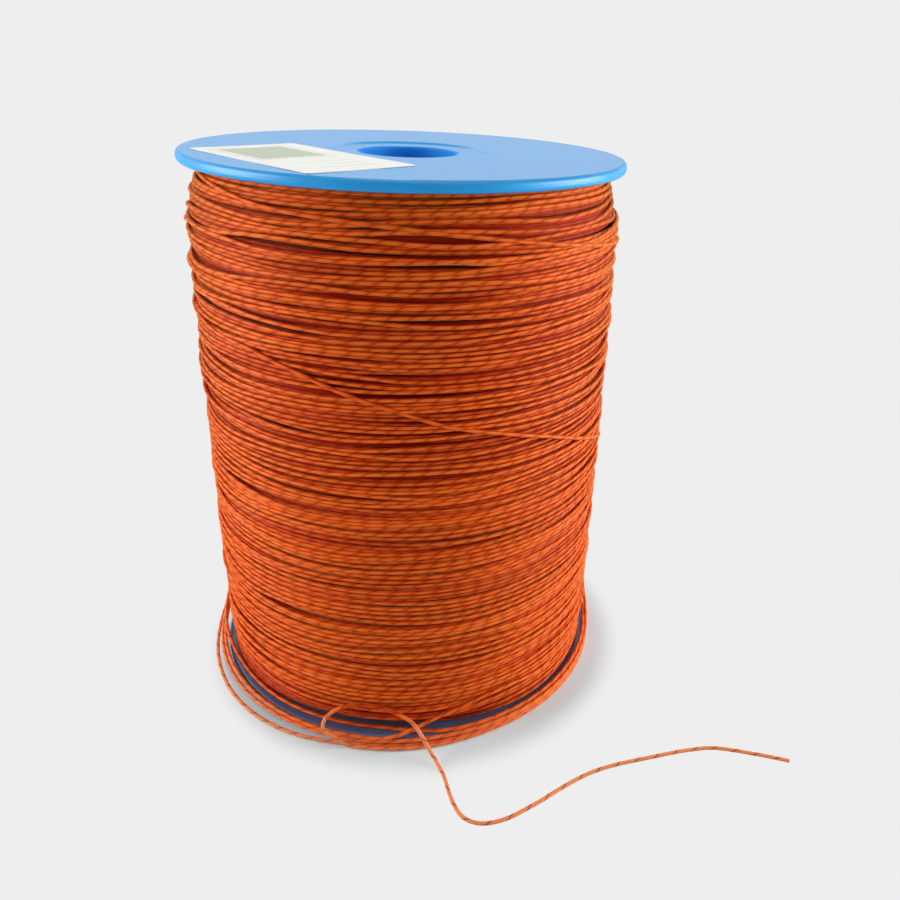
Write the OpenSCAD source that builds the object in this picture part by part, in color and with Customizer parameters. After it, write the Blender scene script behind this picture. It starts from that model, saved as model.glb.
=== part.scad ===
// Spool of waxed thread. A tube carries two equal moulded flanges, and the thread is wound
// between them. Millimetres, +Z along the spindle bore, origin on the floor below the bore.

/* [Reel] */
// Diameter of both flanges
flange_d = 90; // [84:1:100]
// Height of the reel over both flanges
reel_h = 116.7; // [100:0.1:130]
// Thickness of a flange
flange_t = 2.2; // [1.8:0.1:3.2]
// Radius of the round on the flange rim
rim_round = 0.9; // [0.4:0.1:1.1]
// Diameter of the spindle bore
bore_d = 20; // [16:0.5:22]
// Radius of the round on the mouth of the bore
bore_round = 0.6; // [0.4:0.1:1.4]

/* [Hub] */
// Diameter of the sunk hub in the outer face of a flange
hub_d = 32.4; // [30:0.2:32.6]
// Depth of the sunk hub
hub_depth = 0.4; // [0.2:0.1:1.6]
// Width of the slope round the sunk hub
hub_slope = 0.6; // [0.2:0.1:1]
// Thickness of the web between the bore collar and the spigot ring
hub_web = 1.8; // [1.4:0.1:2.4]
// Wall of the collar round the bore
collar_wall = 1.8; // [1.4:0.1:2.2]
// Reach of the collar past the inner face of the flange
collar_h = 12; // [8:0.5:20]
// Wall of the spigot ring that plugs into the tube
spigot_wall = 1.5; // [1.2:0.1:1.6]
// Reach of the spigot ring past the inner face of the flange
spigot_h = 8; // [5:0.5:14]
// Number of ribs between collar and spigot ring
rib_count = 6; // [3:1:8]
// Thickness of a rib
rib_t = 1.4; // [1:0.1:2]

/* [Core tube] */
// Outer diameter of the tube
tube_d = 40; // [39.4:0.1:44]
// Wall of the tube
tube_wall = 2; // [1.6:0.1:2]
// Clearance on each side where a spigot plugs into the tube
fit_gap = 0.1; // [0.05:0.01:0.2]
// Lead-in chamfer inside both ends of the tube
lead_in = 0.6; // [0.3:0.1:1]

/* [Label] */
// Length of the label
label_l = 39; // [30:0.5:40]
// Width of the label
label_w = 22.5; // [16:0.5:22.5]
// Thickness of the label
label_t = 0.15; // [0.1:0.01:0.3]
// Corner radius of the label
label_round = 0.8; // [0.4:0.1:2]
// Gap between the sunk hub and the nearest edge of the label
label_gap = 0; // [0:0.1:0.4]
// Distance by which the label's middle lies off the line through the axis
label_slip = 2; // [0:0.5:3]
// Direction of the label from the axis, in degrees
label_angle = -140; // [-180:1:180]

/* [Thread] */
// Diameter of the thread
thread_d = 0.8; // [0.6:0.1:1.1]
// Distance from the flange rim in to the outermost strand
rim_inset = 0.2; // [0.1:0.1:3]
// Gap between strands that cross or lie beside each other
strand_gap = 0.5; // [0.48:0.01:0.8]
// Clearance round the wound thread
soft_gap = 0.25; // [0.2:0.01:0.4]
// Amount by which the winding draws in at its foot
foot_draw = 1.8; // [0:0.1:3]
// Height over which the winding draws in
foot_taper_h = 60; // [30:1:90]
// Amount by which the winding draws in below the upper flange
head_draw = 3.2; // [0:0.1:4]
// Height over which it draws in below the upper flange
head_taper_h = 12; // [6:0.5:30]
// Height of the lowest turn above the lower flange
foot_clear = 0.5; // [0.5:0.1:3]
// Height of the highest turn below the upper flange
top_clear = 1.4; // [1:0.1:3]
// Turns of the outer layer, from its top down to the lead
layer_turns = 20; // [10:1:20]
// Height at which the thread leaves the winding
leave_z = 8.4; // [7:0.1:12]

/* [Slack turns] */
// Number of slack turns
slack_turns_n = 4; // [3:1:4]
// Height of the slack turns at the back, above the floor
slack_rise = 24; // [15:1:40]
// Distance by which the slack turns stand away from the rim at the left
slack_swell = 2.5; // [2.4:0.1:4]
// Lean of the pile of slack turns at the left, in degrees
slack_lean = 40; // [30:1:40]
// Clearance between the slack turns and the rim
rim_gap = 0.15; // [0.1:0.05:1]
// Clearance between the lowest slack turn and the floor
floor_gap = 0.1; // [0.05:0.05:0.5]

/* [Hidden] */
$fn = 96;

blue = [0.10, 0.50, 0.80];
card = [0.90, 0.91, 0.88];
tube_grey = [0.82, 0.82, 0.80];
orange = [0.85, 0.36, 0.15];
dark_orange = [0.66, 0.24, 0.09];

flange_r = flange_d / 2;
bore_r = bore_d / 2;
hub_r = hub_d / 2;
tube_r = tube_d / 2;
tube_bore_r = tube_r - tube_wall;
spigot_r = tube_bore_r - fit_gap;
web_top = hub_depth + hub_web;
rib_top = flange_t + spigot_h / 2;
least_flat = 0.1;
rim_edge = min(rim_round, (flange_t - least_flat) / 2);
bore_edge = min(bore_round, hub_web - 0.4, collar_wall - 0.2);

// Overlap of solids that are joined
join = 0.1;

// The wound thread: rings every 15 degrees, and the sag of the chord between two rings
ring_step = 15;
thread_r = thread_d / 2;
strand_step = thread_d + strand_gap;
sag = flange_r * (1 - cos(ring_step / 2));
winding_sides = 6;
free_sides = 8;

// Floor and ceiling of the winding, its lowest and its highest turn
floor_z = flange_t;
ceiling_z = reel_h - flange_t;
foot_z = floor_z + thread_r + foot_clear;
top_z = ceiling_z - top_clear;

// Radius of the strands that cross over the turns, of the turns below them and of the pack
// below those, at height z
function draw_in(z) = foot_draw * pow(max(0, 1 - (z - floor_z) / foot_taper_h), 2)
    + head_draw * pow(max(0, 1 - (ceiling_z - z) / head_taper_h), 2);
function over_r(z) = flange_r - rim_inset - thread_r - draw_in(z);
function turn_r(z) = over_r(z) - strand_step;
function pack_r(z) = turn_r(z) - sag - thread_r - soft_gap;

// Point at a height, a radius and an angle seen from above
function polar(angle, r, z) = [r * cos(angle), r * sin(angle), z];
function unit(v) = v / norm(v);
function turn_part(a) = (a % 360 + 360) % 360;
function smooth(t) = let (s = min(1, max(0, t))) s * s * (3 - 2 * s);

// The winding runs clockwise seen from above. It starts with most of a turn along the foot,
// crosses steeply up to the top over the turns, and comes down in the even turns of the layer.
wind_start = 135;
foot_span = 315;
// Share of the height that the crossing strand has climbed after so many degrees
cross_climb = [[0, 0], [230, 0.59], [330, 0.76], [570, 0.92], [660, 1]];
cross_span = 660;
turnround_span = 180;
leave_angle = 45;
layer_start = foot_span + cross_span + turnround_span;
layer_span = layer_turns * 360 + turn_part(wind_start + leave_angle - layer_start);
wind_span = layer_start + layer_span;

function wind_z(a) =
    a < foot_span ? foot_z :
    a < layer_start - turnround_span ? foot_z + (top_z - foot_z) * lookup(a - foot_span, cross_climb) :
    a < layer_start ? top_z :
    top_z - (top_z - leave_z) * (a - layer_start) / layer_span;
// 0 on the pack, 1 over the turns
function wind_level(a) = a < layer_start - turnround_span
    ? smooth((a - foot_span + 30) / 45)
    : 1 - smooth((a - layer_start + turnround_span) / turnround_span);
function wind_point(a) = let (z = wind_z(a))
    polar(wind_start - a, turn_r(z) + wind_level(a) * strand_step, z);

// The slack turns run on clockwise from the front, as one pile that a strand climbs down.
// Angles are counted from the front. The pile stands upright against the rim at the right,
// leans on it at the left, and is lifted against the winding at the back.
slack_end = slack_turns_n * 360 + ring_step;
rest_z = thread_r + floor_gap;
slack_r = flange_r + thread_r + sag + rim_gap;
foot_strand_end = 45;
foot_strand_fade = 45;
rise_start = 55;
swell_angle = 70;

function bump(a) = max(0, cos(a - swell_angle));
function from_front(a) = 180 - abs((a % 360) - 180);
function pile(a) = strand_step * (slack_end - a) / 360;
function slack_point(a) =
    let (lean = slack_lean * bump(a),
         // the first stretch lies on the flange along the foot of the winding
         free = a < 180 ? smooth((a - foot_strand_end) / foot_strand_fade) : 1,
         r = slack_r + slack_swell * bump(a) - pile(a) * sin(lean),
         z = rest_z + slack_rise * smooth((from_front(a) - rise_start) / (180 - rise_start))
             + pile(a) * cos(lean),
         foot_strand_z = floor_z + thread_r + soft_gap)
    polar(-90 - a, free * r + (1 - free) * over_r(foot_z), free * z + (1 - free) * foot_strand_z);

// Points that run on straight from the start or the end of a route, by n thread diameters
function before(path, n) = path[0] - n * thread_d * unit(path[1] - path[0]);
function after(path, n) = let (e = len(path) - 1) path[e] + n * thread_d * unit(path[e] - path[e - 1]);
// A route with both ends run on straight by one thread diameter
function run_on(path) = concat([before(path, 1)], path, [after(path, 1)]);

winding_route = run_on([for (a = [0 : ring_step : wind_span]) wind_point(a)]);
slack_route = run_on([for (a = [0 : ring_step : slack_end]) slack_point(a)]);

// The lead, from the winding to the slack turns: angle, height, share of the step outwards
lead_points = [[-52, 8.8, 0.1], [-56, 9.2, 0.3], [-60, 9.4, 0.5], [-64, 9.4, 0.7], [-68, 9.1, 0.8],
               [-72, 8.4, 0.9], [-76, 7.4, 1], [-79.5, 6.3, 1], [-82.5, 5.2, 1], [-85.5, 4.2, 1]];
lead_route = concat([after(winding_route, 0), after(winding_route, 1)],
    [for (p = lead_points) polar(p[0], turn_r(p[1]) + p[2] * strand_step, p[1])],
    [before(slack_route, 1), before(slack_route, 0)]);

// The small loop that stands at the front: angle, distance outside the rim, height
loop_points = [[-109, 3.7, 1.4], [-111.5, 3.6, 3.2], [-112.6, 2.9, 5.2], [-112.4, 1.9, 6.9],
               [-110.8, 0.6, 8.1], [-108, -0.5, 8.9], [-104.5, -1.1, 9.3], [-101, -1.2, 9.3],
               [-97.5, -1.1, 8.9], [-94.5, -0.7, 8.3], [-91.8, 0, 7.6], [-89.5, 1, 6.7],
               [-88, 2.1, 5.4], [-86.8, 3.1, 3.9], [-85.8, 4, 2.4], [-84.8, 5, 1.2]];
// The free end on the floor: distance to the right, distance in front of the rim
tail_points = [[5.4, 6.4], [6.3, 8.8], [6.9, 11.4], [7.5, 14.2], [8.3, 16.8], [9.4, 19], [11.2, 20.5],
               [13.7, 21.1], [16.4, 20.8], [19.2, 19.9], [22.2, 18.4], [25.2, 16.8], [28.3, 14.9],
               [31.8, 12.9], [35.4, 11.1], [38.9, 9.8], [42.3, 8.9], [46, 8.2], [49.5, 7.6], [53, 7],
               [56.6, 6.4], [60.3, 6], [63.9, 5.9], [67.2, 6.5], [70, 7.3], [72.8, 8.2], [75.6, 9.1],
               [78, 10], [79.6, 10.6]];
tail_route = concat([after(slack_route, 0), after(slack_route, 1)],
    [for (p = loop_points) polar(p[0], flange_r + p[1], p[2])],
    [for (p = tail_points) [p[0], -flange_r - p[1], thread_r + floor_gap / 2]]);

// Least gap between two turns of a wound route. Both are sampled at the same angles, at the
// rings and at the middles of the chords between them.
function half_points(path) = [for (i = [0 : len(path) - 2]) each [path[i], (path[i] + path[i + 1]) / 2]];
function turn_gap(path) = let (p = half_points(path), turn = 2 * 360 / ring_step, n = len(p))
    min([for (i = [0 : n - turn - 1]) for (j = [i + turn - 3 : n - 1])
        if (abs((j - i + 3) % turn - 3) <= 3) norm(p[i] - p[j])]) - thread_d;

echo(outer_winding_least_gap = turn_gap(winding_route));
echo(slack_turns_least_gap = turn_gap(slack_route));

// Direction of a route at its point i, and the part of v that is square to direction t
function heading(path, i) = unit(path[min(i + 1, len(path) - 1)] - path[max(i - 1, 0)]);
function square_to(v, t) = unit(v - (v * t) * t);
// One direction across the route at each point, carried along without twist
function across(path) = [
    for (i = 0, v = square_to([0, 0, 1], heading(path, 0)); i < len(path);
         i = i + 1, v = i < len(path) ? square_to(v, heading(path, i)) : v) v];

// Round thread swept along a route
module thread(path, sides) {
    first = across(path);
    count = len(path);
    points = [
        for (i = [0 : count - 1])
            let (second = cross(heading(path, i), first[i]))
                for (k = [0 : sides - 1])
                    path[i] + thread_r * (cos(360 * k / sides) * first[i] + sin(360 * k / sides) * second)];
    skin = [
        for (i = [0 : count - 2], k = [0 : sides - 1])
            let (a = i * sides + k, b = i * sides + (k + 1) % sides)
                each [[a, b + sides, b], [a, a + sides, b + sides]]];
    end = (count - 1) * sides;
    caps = [for (k = [1 : sides - 2]) each [[0, k, k + 1], [end, end + k + 1, end + k]]];
    polyhedron(points, concat(skin, caps));
}

// Half section of a disc from radius inner to radius outer, its rim rounded by edge
module disc_profile(inner, outer, thickness, edge) {
    translate([inner, 0]) square([outer - edge - inner, thickness]);
    translate([outer - edge - join, edge]) square([edge + join, thickness - 2 * edge]);
    for (z = [edge, thickness - edge]) translate([outer - edge, z]) circle(edge);
}

// Flange moulding, outer face down at z = 0
module flange_moulding() {
    rotate_extrude() {
        disc_profile(hub_r, flange_r, flange_t, rim_edge);
        translate([spigot_r - spigot_wall, 0]) square([spigot_wall, flange_t + spigot_h]);
        difference() {
            union() {
                translate([bore_r, hub_depth]) square([spigot_r - spigot_wall - bore_r + join, hub_web]);
                translate([bore_r, hub_depth]) square([collar_wall, flange_t + collar_h - hub_depth]);
                polygon([[hub_r + join, 0], [hub_r, 0], [hub_r - hub_slope, hub_depth],
                         [hub_r - hub_slope, web_top], [hub_r + join, web_top]]);
            }
            difference() {
                translate([bore_r - join, hub_depth - join]) square(bore_edge + join);
                translate([bore_r + bore_edge, hub_depth + bore_edge]) circle(bore_edge);
            }
        }
    }
    for (i = [0 : rib_count - 1]) rotate([0, 0, 360 * (i + 0.5) / rib_count])
        translate([bore_r + collar_wall / 2, -rib_t / 2, web_top - join])
            cube([spigot_r - spigot_wall / 2 - bore_r - collar_wall / 2, rib_t, rib_top - web_top + join]);
}

module lower_flange() {
    color(blue) flange_moulding();
}

module upper_flange() {
    color(blue) translate([0, 0, reel_h]) mirror([0, 0, 1]) flange_moulding();
}

// Drum between the flanges, with a lead-in for the spigots at both ends
module core_tube() {
    color(tube_grey) rotate_extrude() polygon([
        [tube_bore_r + lead_in, flange_t], [tube_r, flange_t],
        [tube_r, reel_h - flange_t], [tube_bore_r + lead_in, reel_h - flange_t],
        [tube_bore_r, reel_h - flange_t - lead_in], [tube_bore_r, flange_t + lead_in]]);
}

// Paper label on the outer face of the upper flange, beside the hub
module label() {
    color(card)
        translate([0, 0, reel_h]) rotate([0, 0, label_angle])
            translate([hub_r + label_gap, label_slip - label_l / 2, 0]) linear_extrude(label_t) {
                translate([label_round, 0]) square([label_w - 2 * label_round, label_l]);
                translate([0, label_round]) square([label_w, label_l - 2 * label_round]);
                for (x = [label_round, label_w - label_round], y = [label_round, label_l - label_round])
                    translate([x, y]) circle(label_round);
            }
}

// Body of the winding, below the outer layer of turns
module thread_pack() {
    bottom = floor_z + soft_gap;
    top = ceiling_z - soft_gap;
    steps = 16;
    color(dark_orange) rotate_extrude() polygon(concat(
        [[tube_r + soft_gap, top], [tube_r + soft_gap, bottom]],
        [for (i = [0 : steps]) let (z = bottom + (top - bottom) * i / steps) [pack_r(z), z]]));
}

module outer_winding() {
    color(orange) thread(winding_route, winding_sides);
}

module lead_strand() {
    color(orange) thread(lead_route, free_sides);
}

module slack_turns() {
    color(orange) thread(slack_route, winding_sides);
}

module thread_tail() {
    color(orange) thread(tail_route, free_sides);
}

upper_flange();
lower_flange();
core_tube();
label();
thread_pack();
outer_winding();
lead_strand();
slack_turns();
thread_tail();
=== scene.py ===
# %% [markdown]
# # A full spool of waxed thread
#
# Saddlers and bookbinders sew with a braided, waxed thread that is sold on a moulded reel. This lesson
# dresses such a spool in Blender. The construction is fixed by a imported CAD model: two flanges, a tube, a
# label and the space that the thread fills. Blender adds what a solid can't hold, which is every turn of
# the thread, the way it lies, and the finish of each surface.
#
# Each keeps its place in its mesh, so a new piece goes where the CAD says.

# %% Load the frame
import math
import random

import bmesh
import bpy
import numpy as np
from mathutils import Matrix, Vector


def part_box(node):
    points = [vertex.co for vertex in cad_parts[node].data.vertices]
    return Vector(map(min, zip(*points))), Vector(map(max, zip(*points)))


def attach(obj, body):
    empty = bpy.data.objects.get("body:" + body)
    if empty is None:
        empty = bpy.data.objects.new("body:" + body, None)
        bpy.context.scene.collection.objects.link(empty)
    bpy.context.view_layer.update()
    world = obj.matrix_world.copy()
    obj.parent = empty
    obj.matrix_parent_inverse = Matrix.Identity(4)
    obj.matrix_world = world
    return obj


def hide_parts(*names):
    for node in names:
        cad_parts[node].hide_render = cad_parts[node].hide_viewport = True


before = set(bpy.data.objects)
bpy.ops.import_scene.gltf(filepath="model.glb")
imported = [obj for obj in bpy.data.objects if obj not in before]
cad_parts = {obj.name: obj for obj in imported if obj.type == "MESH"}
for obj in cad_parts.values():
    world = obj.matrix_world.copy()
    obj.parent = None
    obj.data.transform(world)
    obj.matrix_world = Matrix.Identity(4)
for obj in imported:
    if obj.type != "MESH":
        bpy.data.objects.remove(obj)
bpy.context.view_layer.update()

# %% [markdown]
# ## Sizes
#
# Lengths below are in millimetres, as on a drawing, and MM turns them into Blender's metres at the last
# moment. The reel's radius and height come from the frame. The thread is a braid of 0.8 mm. Its winding
# draws in slowly towards its foot and quickly below the upper flange, and at the front its lowest turns
# have fallen in.

# %% Sizes
MM = 0.001
FLANGE_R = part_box("upper_flange")[1].x / MM
REEL_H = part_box("upper_flange")[1].z / MM
FLANGE_T = 2.2
THREAD_D = 0.8
THREAD_R = THREAD_D / 2
# Space between thread and the plastic that it lies on
TOUCH = 0.05
# The body below the visible layers is this much larger than the CAD's pack
BODY_GROWTH = 0.35
CORE_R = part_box("thread_pack")[1].x / MM + BODY_GROWTH
FOOT_DRAW = 0.6
FOOT_TAPER_H = 60.0
HEAD_DRAW = 3.2
HEAD_TAPER_H = 12.0
FOOT_FALL_H = 7.5
# How far the lowest turns fall in, by the angle clockwise from the front
FOOT_FALL = [(0, 2.8), (15, 3.4), (30, 2.5), (50, 1.1), (65, 0.7), (85, -0.3), (270, -0.3), (300, -0.9),
             (320, 0), (335, 0.8), (350, 2.1), (360, 2.8)]
WINDING_FOOT = FLANGE_T + THREAD_R + TOUCH
WINDING_TOP = REEL_H - FLANGE_T - THREAD_R - TOUCH
print(f"reel {2 * FLANGE_R:.1f} x {REEL_H:.1f} mm, winding from {WINDING_FOOT:.2f} to {WINDING_TOP:.2f} mm")

# %% [markdown]
# ## The camera
#
# The camera stands a little above the upper flange and close in front, as for a product picture, and looks
# down by about 23 degrees. A lens of 33 mm on a 36 mm sensor gives the strong perspective that makes the
# lower flange look smaller than the upper one. A turn, a slight roll and a small shift place the spool left
# of the middle.

# %% The camera
CAMERA_PLACE = Vector((0.0, -178.69, 135.17))
CAMERA_PITCH = math.radians(23.38)
CAMERA_YAW = math.radians(7.56)
CAMERA_ROLL = math.radians(2.68)
FOCAL_PIXELS = 823.9
IMAGE_SIZE = 900
AXIS_PIXEL = (510.0, 413.1)
SENSOR = 36.0
NEAREST_SEEN = 0.01
FARTHEST_SEEN = 20


def make_camera():
    data = bpy.data.cameras.new("camera")
    data.sensor_width = SENSOR
    data.lens = FOCAL_PIXELS / IMAGE_SIZE * SENSOR
    data.shift_x = (IMAGE_SIZE / 2 - AXIS_PIXEL[0]) / IMAGE_SIZE
    data.shift_y = (AXIS_PIXEL[1] - IMAGE_SIZE / 2) / IMAGE_SIZE
    data.clip_start = NEAREST_SEEN
    data.clip_end = FARTHEST_SEEN
    camera = bpy.data.objects.new("camera", data)
    turn = (Matrix.Rotation(-CAMERA_YAW, 4, "Z") @ Matrix.Rotation(math.pi / 2 - CAMERA_PITCH, 4, "X")
            @ Matrix.Rotation(CAMERA_ROLL, 4, "Z"))
    camera.matrix_world = Matrix.Translation(CAMERA_PLACE * MM) @ turn
    bpy.context.scene.collection.objects.link(camera)
    bpy.context.scene.camera = camera
    return camera


camera = make_camera()
print(f"lens {camera.data.lens:.2f} mm, shift {camera.data.shift_x:.3f}, {camera.data.shift_y:.3f}")

# %% [markdown]
# ## How the thread winds
#
# A winding machine turns the reel while a guide travels up and down, so the thread lies in near-level
# turns, each layer over the one before. It isn't tidy: turns drift together and leave gaps in which the
# layer below shows in shadow, and that unevenness is most of what makes a winding look real. A texture of
# stripes would be quicker, but its outline is smooth and its gaps have no depth. So every turn is laid here
# as it is on the machine.
#
# The angle runs clockwise seen from above, and a turn has 120 stations. Two things move a turn off its even
# spacing: a drift that neighbours share, which makes bunches and gaps, and a wander of its own. The lower
# half of the spool is the tidier one.

# %% Turns that drift together
STATIONS = 120
STATION_ANGLE = 360 / STATIONS
START_ANGLE = -45.0
# A drift is a wave: its rounds of the reel, its length upwards, its share of that length and its phase
DRIFT_COUNT = 16
DRIFT_ROUNDS = (-3, -2, -1, 0, 1, 2, 3)
DRIFT_LENGTHS = (3.5, 17.0)
DRIFT_SHARES = (0.008, 0.024)
dice = random.Random(11)
DRIFTS = [(dice.choice(DRIFT_ROUNDS), dice.uniform(*DRIFT_LENGTHS), dice.uniform(*DRIFT_SHARES),
           dice.uniform(0, 2 * math.pi)) for _ in range(DRIFT_COUNT)]


def polar(angle, radius, z):
    """Points from angles in degrees, seen from above, radii and heights."""
    angle = np.radians(angle)
    return np.stack(np.broadcast_arrays(radius * np.cos(angle), radius * np.sin(angle), z), axis=-1)


def station_angle(index):
    return START_ANGLE - STATION_ANGLE * np.asarray(index)


def drift(angle, z):
    """How far the turns near a place have moved together, up or down."""
    total = np.zeros(np.broadcast(angle, z).shape)
    for rounds, length, share, phase in DRIFTS:
        total = total + share * length * np.sin(rounds * np.radians(angle) + 2 * np.pi * z / length + phase)
    return total


most_drift = np.abs(drift(np.arange(360)[:, None], np.linspace(WINDING_FOOT, WINDING_TOP, 200))).max()
print(f"turns drift by up to {most_drift:.2f} mm before a layer's share")

# %% The guide's travel
# Unevenness dies out over END_ZONE at a flange. Below TIDY_BELOW it is a share of that above LOOSE_ABOVE
END_ZONE = 6.0
TIDY_BELOW = 48.0
LOOSE_ABOVE = 75.0
TIDY_SHARE = 0.55


def wander(count, span, most):
    """A smooth random line of count values, with a new target every span stations."""
    knots = [dice.uniform(-most, most) for _ in range(count // span + 4)]
    at = np.arange(count) / span
    low = at.astype(int)
    part = at - low
    part = part * part * (3 - 2 * part)
    return np.take(knots, low) * (1 - part) + np.take(knots, low + 1) * part


def travel(plan, drifting, span, most):
    """Heights of a layer's stations. The plan lists turns made and the height reached after them."""
    turns, heights = zip(*plan)
    count = turns[-1] * STATIONS
    even = np.interp(np.arange(count) / STATIONS, turns, heights)
    angle = station_angle(np.arange(count))
    from_end = np.minimum(even - WINDING_FOOT, WINDING_TOP - even)
    freedom = np.clip(from_end / END_ZONE, 0, 1)
    loose = np.interp(even, (TIDY_BELOW, LOOSE_ABOVE), (TIDY_SHARE, 1))
    z = even + freedom * loose * (drifting * drift(angle, even) + wander(count, span, most))
    return np.clip(z, WINDING_FOOT, WINDING_TOP)


print(f"within {END_ZONE} mm of a flange the turns grow even")

# %% [markdown]
# ## Each turn rests on the turns below
#
# A turn that is laid between two others sinks into their groove, and one that crosses another rides over
# it. At each station the settling is plain geometry: two round threads touch when their middles are a
# thread apart, so from the difference in height follows the radius at which the new one rests. Waxed braid
# gives a little, so the distance is slightly less than its diameter, and where many strands pile up they
# are pressed together. Before it rests, a strand slides a little towards the nearest groove, and follows it
# until its own slope takes it over the next strand. The radii are smoothed along the thread, which can't
# kink. A simulation of the whole winding could settle it too, but with so many turns in contact it would be
# slow and hard to steer.

# %% The body's radius
def core_radius(z, angle):
    """Radius of the winding's body, which draws in slowly to its foot and sharply at both ends."""
    foot = np.clip(1 - (z - FLANGE_T) / FOOT_TAPER_H, 0, None)
    fall = np.clip(1 - (z - FLANGE_T) / FOOT_FALL_H, 0, None)
    head = np.clip(1 - (REEL_H - FLANGE_T - z) / HEAD_TAPER_H, 0, None)
    fall_here = np.interp((-90 - np.asarray(angle)) % 360, *zip(*FOOT_FALL))
    return CORE_R - FOOT_DRAW * foot**2 - fall_here * fall**2 - HEAD_DRAW * head**2


for place_name, height in (("foot", WINDING_FOOT), ("middle", REEL_H / 2), ("top", WINDING_TOP)):
    print(f"body at the {place_name}: radius {core_radius(height, -90):.2f} mm at the front")

# %% Settling
NEST = 0.86 * THREAD_D
# Strands pile up freely to the first height over the body, and are pressed together below the second
FREE_BUILD = 1.75
MOST_BUILD = 2.3
# Slides that a strand tries, what a slide costs in radius, and how fast the strand follows the best one
SLIDES = np.linspace(-0.4, 0.4, 9)
SLIDE_COST = 0.2
SLIDE_PACE = 0.14
SMOOTHING = np.array([1, 3, 6, 9, 10, 9, 6, 3, 1], float)
SMOOTHING = SMOOTHING / SMOOTHING.sum()


class Winding:
    """The turns laid so far: heights and radii, with a row for each turn and a column for each station."""

    def __init__(self):
        self.z = np.zeros((0, STATIONS))
        self.r = np.zeros((0, STATIONS))

    def rest(self, z):
        """Radii at which a turn rests on the winding at the heights z of its stations."""
        core = core_radius(z, station_angle(np.arange(STATIONS)))
        apart = np.abs(z - self.z)
        over = np.where(apart < NEST, self.r + np.sqrt(np.clip(NEST**2 - apart**2, 0, None)), 0)
        build = np.max(over, axis=0, initial=0) - core
        room = MOST_BUILD - FREE_BUILD
        pressed = FREE_BUILD + room * (1 - np.exp(-np.clip(build - FREE_BUILD, 0, None) / room))
        return core + np.clip(np.where(build > FREE_BUILD, pressed, build), THREAD_R, None)

    def slide(self, z, slid):
        """How far each station slides towards a groove. slid is how far the thread has slid so far."""
        cost = [self.rest(z + slide) + SLIDE_COST * abs(slide) for slide in SLIDES]
        slides = []
        for aim in SLIDES[np.argmin(cost, axis=0)]:
            slid += SLIDE_PACE * (aim - slid)
            slides.append(slid)
        return np.array(slides)

    def lay(self, heights, sliding):
        """Lays whole turns on the winding and returns their heights and radii."""
        laid = []
        slid = 0.0
        for z in heights.reshape(-1, STATIONS):
            if sliding:
                slides = self.slide(z, slid)
                slid = slides[-1]
                z = np.clip(z + slides, WINDING_FOOT, WINDING_TOP)
            r = self.rest(z)
            self.z = np.vstack([self.z, z])
            self.r = np.vstack([self.r, r])
            laid.append((z, r))
        return np.concatenate(laid, axis=1)


def even_out(radii):
    """Smooths radii along the thread, leaning to the outside so that nothing sinks in."""
    near = np.maximum(np.maximum(np.roll(radii, 1), np.roll(radii, -1)), radii)
    near[[0, -1]] = radii[[0, -1]]
    padded = np.pad((near + radii) / 2, len(SMOOTHING) // 2, mode="edge")
    return np.convolve(padded, SMOOTHING, mode="valid")


print(f"two strands rest {NEST:.3f} mm apart")

# %% [markdown]
# ## The layers
#
# Only the outermost layers show, so only they are laid turn by turn, over a plain body that stands for the
# many layers inside. One layer climbs and one comes down over it. Then the thread crosses back up in fewer
# than three turns, which leaves single strands slanting over the others, and a last layer comes down
# loosely, close in its lower half and in bunches above. It ends near the foot, where the thread leaves. The
# crossing strand is settled last, so that it lies on top all the way.

# %% The layers' plans
LEAVE_Z = 8.4
INNER_TURNS = 98
MAIN_TURNS = 92
CROSSING_TURNS = 3
# Degrees turned and height reached
CROSSING = [(0, WINDING_FOOT), (135, WINDING_FOOT), (250, 34), (367.5, 67.5), (383, 71), (396, 73.5),
            (407, 76.6), (418.5, 79.4), (430, 82.3), (446, 85.1), (465.5, 86.1), (580, 93.5), (702, 102.2),
            (725, 104.8), (740, 106.4), (752, 107.6), (769, 109.1), (800, 110.6), (840, WINDING_TOP)]
# Turns made and height reached
LAST = [(0, WINDING_TOP), (2, 112), (8, 104), (14, 95.5), (20, 87.5), (27, 78), (33, 69.5), (40, 60),
        (56, 40.5), (70, 23.5), (82, LEAVE_Z)]
LAYERS = {
    "winding_inner_layer": dict(plan=[(0, WINDING_FOOT), (INNER_TURNS, WINDING_TOP)], drifting=0.4, span=24,
                                most=0.35),
    "winding_main_layer": dict(plan=[(0, WINDING_TOP), (MAIN_TURNS, WINDING_FOOT)], drifting=0.35, span=15,
                               most=0.65),
    "winding_last_layer": dict(plan=LAST, drifting=0.4, span=12, most=0.9),
    "crossing_strand": dict(plan=[(turned / 360, z) for turned, z in CROSSING]
                            + [(CROSSING_TURNS, WINDING_TOP)], drifting=0, span=60, most=0.12),
}
PATH_ORDER = ("winding_inner_layer", "winding_main_layer", "crossing_strand", "winding_last_layer")
print("turns planned:", {name: layer["plan"][-1][0] for name, layer in LAYERS.items()})

# %% Lay the layers
# The last layer runs level into its end over this many stations
LEVELLING = STATIONS // 3
winding = Winding()
laid = {}
for name, layer in LAYERS.items():
    z = travel(**layer)
    if name == "winding_last_layer":
        ease = np.linspace(0, 1, LEVELLING)
        z[-LEVELLING:] = z[-LEVELLING:] * (1 - ease) + LEAVE_Z * ease
    laid[name] = winding.lay(z, sliding=name != "crossing_strand")

print(f"{len(winding.z)} turns laid, radii {winding.r.min():.2f} to {winding.r.max():.2f} mm")

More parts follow.
